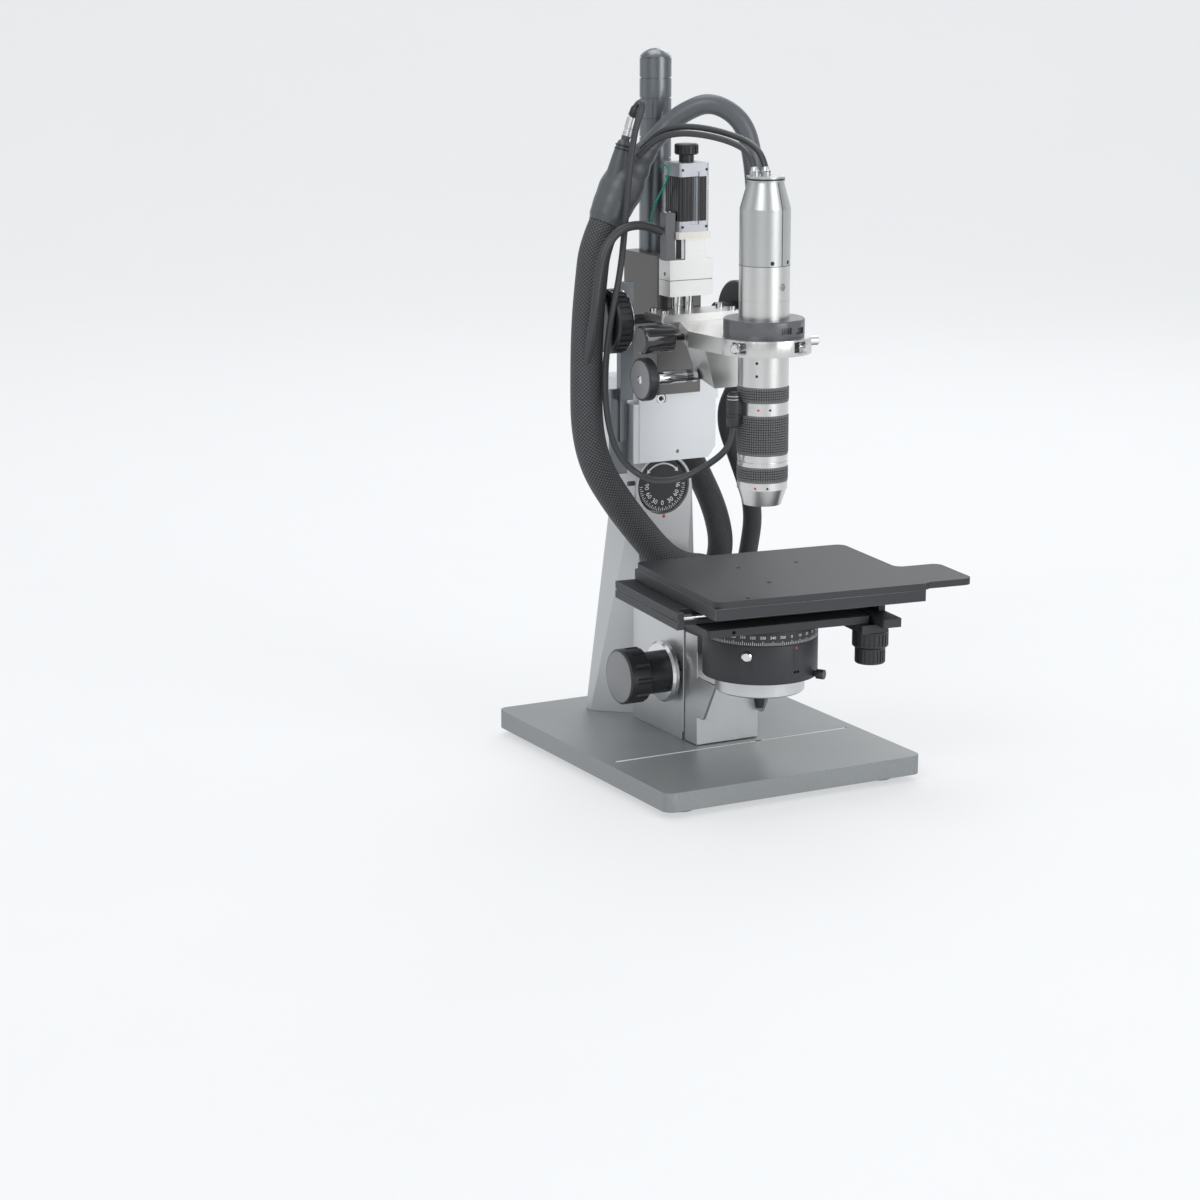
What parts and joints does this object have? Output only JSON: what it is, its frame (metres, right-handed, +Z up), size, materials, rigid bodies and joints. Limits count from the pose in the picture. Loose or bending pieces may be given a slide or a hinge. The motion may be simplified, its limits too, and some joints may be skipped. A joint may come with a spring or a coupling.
{
  "type": "digital microscope",
  "caption": "Digital microscope stand: base, upright, tilting column with motorised focus, camera head, zoom lens and rotary cross stage on a lift.",
  "frame": {"origin": "centre of the base's resting surface", "axes": "+X to the right, -Y to the front, +Z up"},
  "size_m": [0.3228, 0.558, 0.5934],
  "materials": {
    "silver": "satin",
    "upright_grey": "satin",
    "base_grey": "satin",
    "black_anodised": "matte",
    "black_plastic": "satin",
    "chrome": "polished",
    "bronze_grey": "satin",
    "pole_grey": "satin",
    "motor_cap_grey": "matte",
    "cream": "matte",
    "camera_grey": "satin",
    "rubber": "matte",
    "cord": "satin",
    "braid": "woven"
  },
  "bodies": {
    "stand": {"base_plate": "base_grey", "base_feet": "rubber", "upright": "upright_grey", "side_screws": "chrome", "lift_block": "silver", "main_hose": "cord", "left_sleeve": "braid", "rear_sleeve": "braid", "motor_cord": "cord", "end_plugs": "black_plastic"},
    "lift_knob": {"lift_knob_disc": "chrome", "lift_knob_grip": "black_plastic"},
    "lift": {"lift_carriage": "silver", "foot_disc": "silver", "ring_housing": "black_anodised"},
    "ring_button": {"ring_button": "chrome"},
    "ring_knob": {"ring_knob": "black_plastic"},
    "cone_knob": {"cone_knob": "black_plastic"},
    "rotary": {"scale_ring": "black_anodised", "lower_plate": "black_anodised"},
    "y_slide": {"y_frame": "black_anodised", "y_rod": "chrome", "y_bracket": "black_anodised"},
    "drop_knob_upper": {"drop_knob_upper": "black_plastic"},
    "drop_knob_lower": {"drop_knob_lower": "black_plastic"},
    "x_slide": {"x_plate": "black_anodised", "stage_top": "black_anodised"},
    "head": {"head_plate": "silver", "head_block": "silver", "tilt_dial": "black_anodised", "column": "bronze_grey", "pole": "pole_grey", "side_rail": "pole_grey", "hose_fork": "cord", "camera_lead_1": "cord", "camera_lead_2": "cord", "lens_cord": "cord"},
    "coarse_knobs": {"coarse_knobs": "black_plastic"},
    "coarse": {"z_block": "silver", "motor_plate": "cream", "motor": "black_anodised", "motor_caps": "motor_cap_grey", "connector_box": "black_plastic"},
    "motor_knob": {"motor_knob": "black_plastic"},
    "fine": {"arm_plate": "silver", "arm_screws": "chrome", "guide_rods": "chrome", "arm": "silver", "centring_screws": "chrome", "adapter_disc": "black_anodised", "camera_tube": "silver", "camera_barrel": "camera_grey", "lens_barrel": "silver", "lens_plug": "black_plastic"},
    "lens_ring_upper": {"lens_ring_upper": "rubber"},
    "lens_ring_zoom": {"lens_ring_zoom": "rubber"},
    "lens_ring_lower": {"lens_ring_lower": "rubber"},
    "clamp_knob": {"clamp_knob": "black_plastic"},
    "disc_knob": {"disc_knob": "black_plastic"}
  },
  "joints": [
    {"name": "lift_knob_turn", "type": "hinge", "parent": "stand", "child": "lift_knob", "pos_m": [-0.05, 0.006, 0.078], "axis": [1, 0, 0], "range_deg": [0, 251.9]},
    {"name": "lift_slide", "type": "slide", "parent": "stand", "child": "lift", "axis": [0, 0, 1], "range_m": [0, 0.028]},
    {"name": "ring_button_press", "type": "slide", "parent": "lift", "child": "ring_button", "axis": [0.6972, 0.7169, 0], "range_m": [0, 0.0015], "stiffness_N_per_m": 400, "springref_m": -0.0005},
    {"name": "ring_knob_turn", "type": "hinge", "parent": "lift", "child": "ring_knob", "pos_m": [0.02882, -0.13086, 0.0985], "axis": [0.5764, -0.8171, 0], "range_deg": [-360, 360]},
    {"name": "cone_knob_turn", "type": "hinge", "parent": "lift", "child": "cone_knob", "pos_m": [0, -0.09, 0.07], "axis": [0, 0, 1], "range_deg": [-360, 360]},
    {"name": "rotary_turn", "type": "hinge", "parent": "lift", "child": "rotary", "pos_m": [0, -0.09, 0.13], "axis": [0, 0, 1], "range_deg": [-120, 40]},
    {"name": "y_slide_move", "type": "slide", "parent": "rotary", "child": "y_slide", "axis": [0.1045, 0.9945, 0], "range_m": [-0.02, 0.02]},
    {"name": "drop_knob_lower_turn", "type": "hinge", "parent": "y_slide", "child": "drop_knob_lower", "pos_m": [0.07498, -0.14001, 0.12], "axis": [0, 0, 1], "range_deg": [-179.94, 179.94]},
    {"name": "x_slide_move", "type": "slide", "parent": "y_slide", "child": "x_slide", "axis": [0.9945, -0.1045, 0], "range_m": [-0.03, 0.03]},
    {"name": "drop_knob_upper_turn", "type": "hinge", "parent": "y_slide", "child": "drop_knob_upper", "pos_m": [0.07498, -0.14001, 0.12], "axis": [0, 0, 1], "range_deg": [-269.89, 269.89]},
    {"name": "head_tilt", "type": "hinge", "parent": "stand", "child": "head", "pos_m": [0, 0.09, 0.223], "axis": [0, 1, 0], "range_deg": [-45, 45], "deforming": ["main_hose", "left_sleeve", "rear_sleeve"]},
    {"name": "coarse_knob_turn", "type": "hinge", "parent": "head", "child": "coarse_knobs", "pos_m": [0, 0.051, 0.372], "axis": [1, 0, 0], "range_deg": [-90, 179.94]},
    {"name": "coarse_slide", "type": "slide", "parent": "head", "child": "coarse", "axis": [0, 0, 1], "range_m": [-0.01, 0.02], "deforming": ["lens_cord", "motor_cord", "camera_lead_1", "camera_lead_2"]},
    {"name": "motor_knob_turn", "type": "hinge", "parent": "coarse", "child": "motor_knob", "pos_m": [0, 0.0366, 0.52], "axis": [0, 0, 1], "range_deg": [-900.05, 900.05]},
    {"name": "fine_slide", "type": "slide", "parent": "coarse", "child": "fine", "axis": [0, 0, 1], "range_m": [-0.005, 0.005]},
    {"name": "lens_ring_upper_turn", "type": "hinge", "parent": "fine", "child": "lens_ring_upper", "pos_m": [0, -0.09, 0.327], "axis": [0, 0, 1], "range_deg": [-30, 30]},
    {"name": "lens_ring_zoom_turn", "type": "hinge", "parent": "fine", "child": "lens_ring_zoom", "pos_m": [0, -0.09, 0.294], "axis": [0, 0, 1], "range_deg": [-110, 110]},
    {"name": "lens_ring_lower_turn", "type": "hinge", "parent": "fine", "child": "lens_ring_lower", "pos_m": [0, -0.09, 0.262], "axis": [0, 0, 1], "range_deg": [-45, 45]},
    {"name": "clamp_knob_turn", "type": "hinge", "parent": "fine", "child": "clamp_knob", "pos_m": [-0.06, -0.0215, 0.366], "axis": [1, 0, 0], "range_deg": [-360, 360]},
    {"name": "disc_knob_turn", "type": "hinge", "parent": "fine", "child": "disc_knob", "pos_m": [-0.06, -0.018, 0.333], "axis": [1, 0, 0], "range_deg": [-360, 360]}
  ],
  "couplings": [
    {"joint": "lift_knob_turn", "follows": "lift_slide", "rad_per_m": 156.99},
    {"joint": "drop_knob_lower_turn", "follows": "y_slide_move", "rad_per_m": 156.99},
    {"joint": "drop_knob_upper_turn", "follows": "x_slide_move", "rad_per_m": 156.99},
    {"joint": "coarse_knob_turn", "follows": "coarse_slide", "rad_per_m": 156.99},
    {"joint": "motor_knob_turn", "follows": "fine_slide", "rad_per_m": 3141.6}
  ]
}
